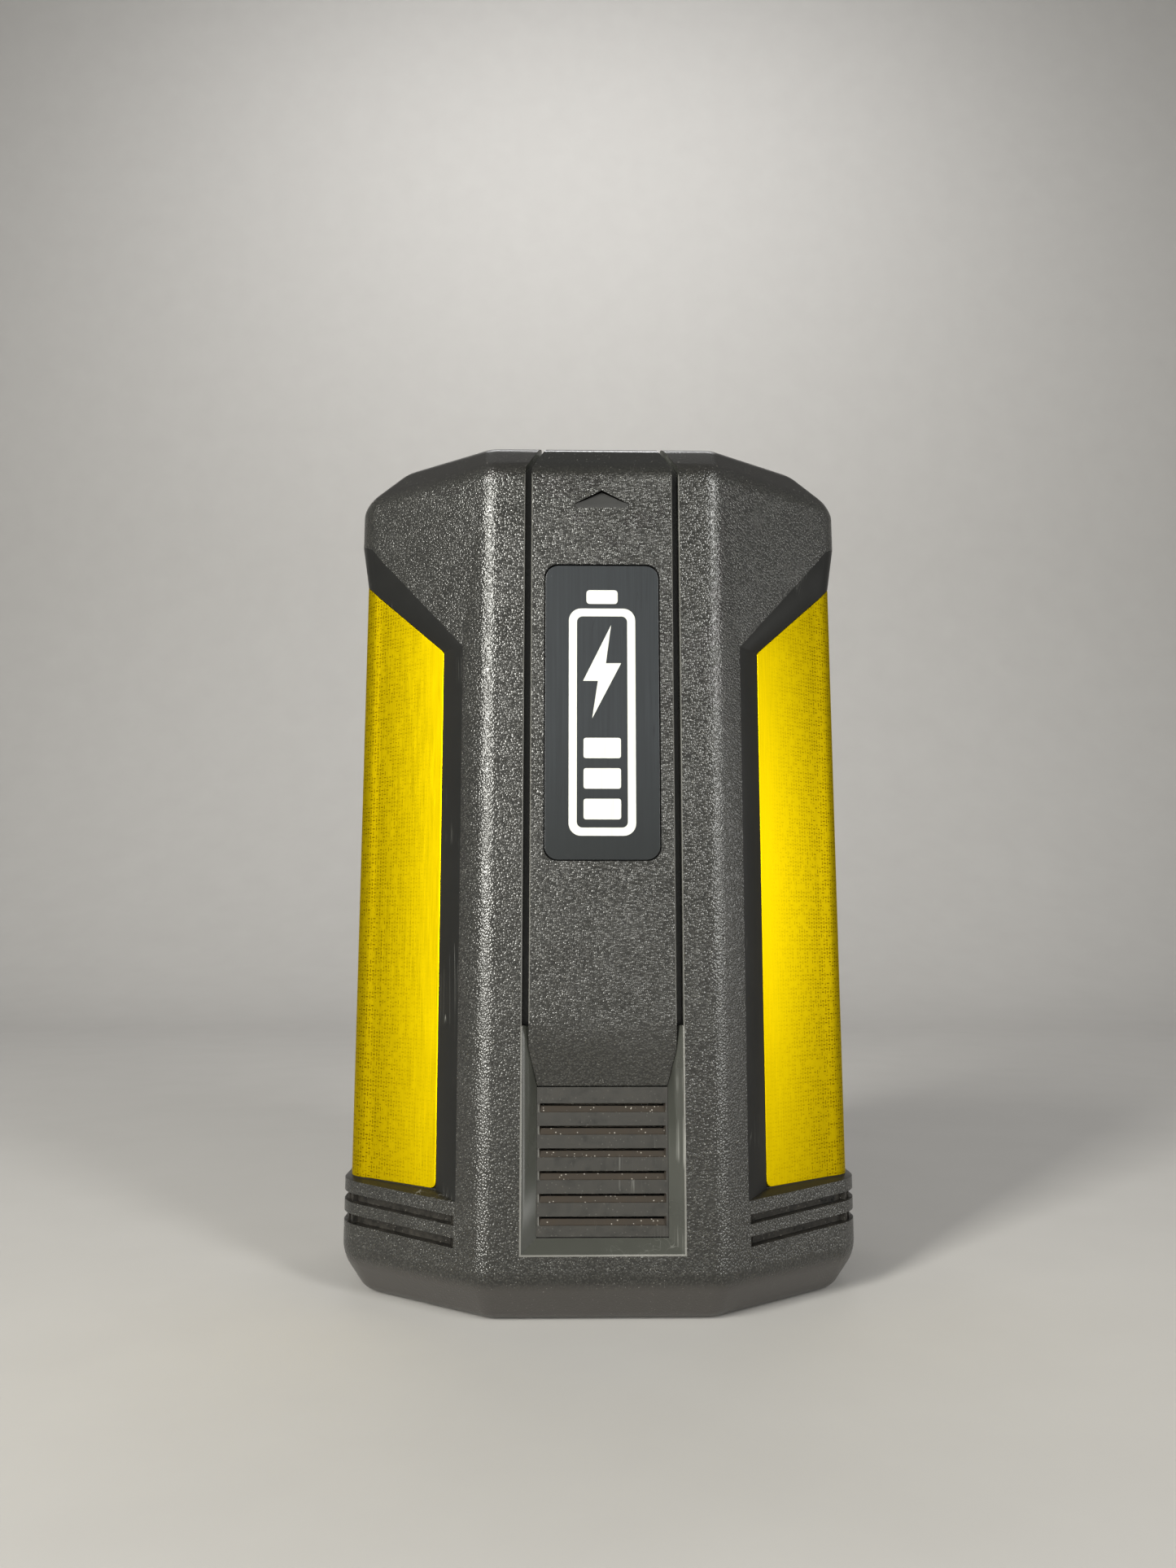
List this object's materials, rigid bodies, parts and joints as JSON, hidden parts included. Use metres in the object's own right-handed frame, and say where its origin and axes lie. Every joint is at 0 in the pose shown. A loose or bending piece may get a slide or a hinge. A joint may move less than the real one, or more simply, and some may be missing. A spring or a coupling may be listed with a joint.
{
  "type": "jump starter battery pack",
  "caption": "Slide-in rechargeable battery pack for a jump starter, with a faceted case, flank panels, a vent louvre, a slide rail and a charge gauge button.",
  "frame": {"origin": "centre of the bounding box in plan, at the flat bottom face", "axes": "+Z along the long axis towards the insertion end, -Y out of the front face with the label, +X to the viewer's right when facing the label"},
  "size_m": [0.112, 0.088, 0.183],
  "materials": {
    "case_plastic": "moulded leather grain",
    "strip_plastic": "moulded leather grain",
    "vent_plastic": "fine moulded",
    "rear_plastic": "fine moulded",
    "panel_lime": "brushed lacquer",
    "label_film": "brushed film",
    "baffle_plastic": "dusty",
    "holder_plastic": "moulded",
    "terminal_plastic": "moulded",
    "contact_metal": "plated",
    "link_nickel": "nickel sheet",
    "switch_steel": "satin",
    "screw_steel": "blackened",
    "board_laminate": "solder mask",
    "cell_sleeve": "shrink sleeve over steel can",
    "window_clear": "polished",
    "button_plastic": "fine moulded",
    "pad_foam": "closed-cell foam",
    "lead_red": "insulated lead",
    "lead_black": "insulated lead"
  },
  "bodies": {
    "case": {"front_shell": "case_plastic", "rear_shell": "rear_plastic", "centre_strip": "strip_plastic", "vent_louvre": "vent_plastic", "label_plate": "label_film", "left_flank_panel": "panel_lime", "right_flank_panel": "panel_lime", "vent_baffle": "baffle_plastic", "terminal_block": "terminal_plastic", "gauge_window": "window_clear", "gauge_board": "board_laminate", "gauge_switch": "switch_steel", "management_board": "board_laminate", "cell_holder_left": "holder_plastic", "cell_holder_right": "holder_plastic", "lead_positive": "lead_red", "lead_negative": "lead_black", "top_pad": "pad_foam", "cell_01": "cell_sleeve", "cell_02": "cell_sleeve", "cell_03": "cell_sleeve", "cell_04": "cell_sleeve", "cell_05": "cell_sleeve", "cell_06": "cell_sleeve", "cell_07": "cell_sleeve", "cell_08": "cell_sleeve", "cell_09": "cell_sleeve", "cell_10": "cell_sleeve", "cell_11": "cell_sleeve", "cell_12": "cell_sleeve", "cell_13": "cell_sleeve", "cell_14": "cell_sleeve", "cell_15": "cell_sleeve", "cell_16": "cell_sleeve", "cell_17": "cell_sleeve", "cell_18": "cell_sleeve", "cell_19": "cell_sleeve", "cell_20": "cell_sleeve", "link_left_1": "link_nickel", "link_left_2": "link_nickel", "link_left_3": "link_nickel", "link_left_4": "link_nickel", "link_left_5": "link_nickel", "link_right_1": "link_nickel", "link_right_2": "link_nickel", "link_right_3": "link_nickel", "link_right_4": "link_nickel", "link_right_5": "link_nickel", "link_right_6": "link_nickel", "screw_lower_left": "screw_steel", "screw_lower_right": "screw_steel", "screw_upper_left": "screw_steel", "screw_upper_right": "screw_steel", "contact_positive": "contact_metal", "contact_data": "contact_metal", "contact_negative": "contact_metal"},
    "button": {"gauge_button": "button_plastic", "switch_plunger": "holder_plastic"}
  },
  "joints": [
    {"name": "gauge_button_press", "type": "slide", "parent": "case", "child": "button", "axis": [0, -1, 0], "range_m": [0, 0.0008], "stiffness_N_per_m": 900, "springref_m": -0.0006}
  ]
}
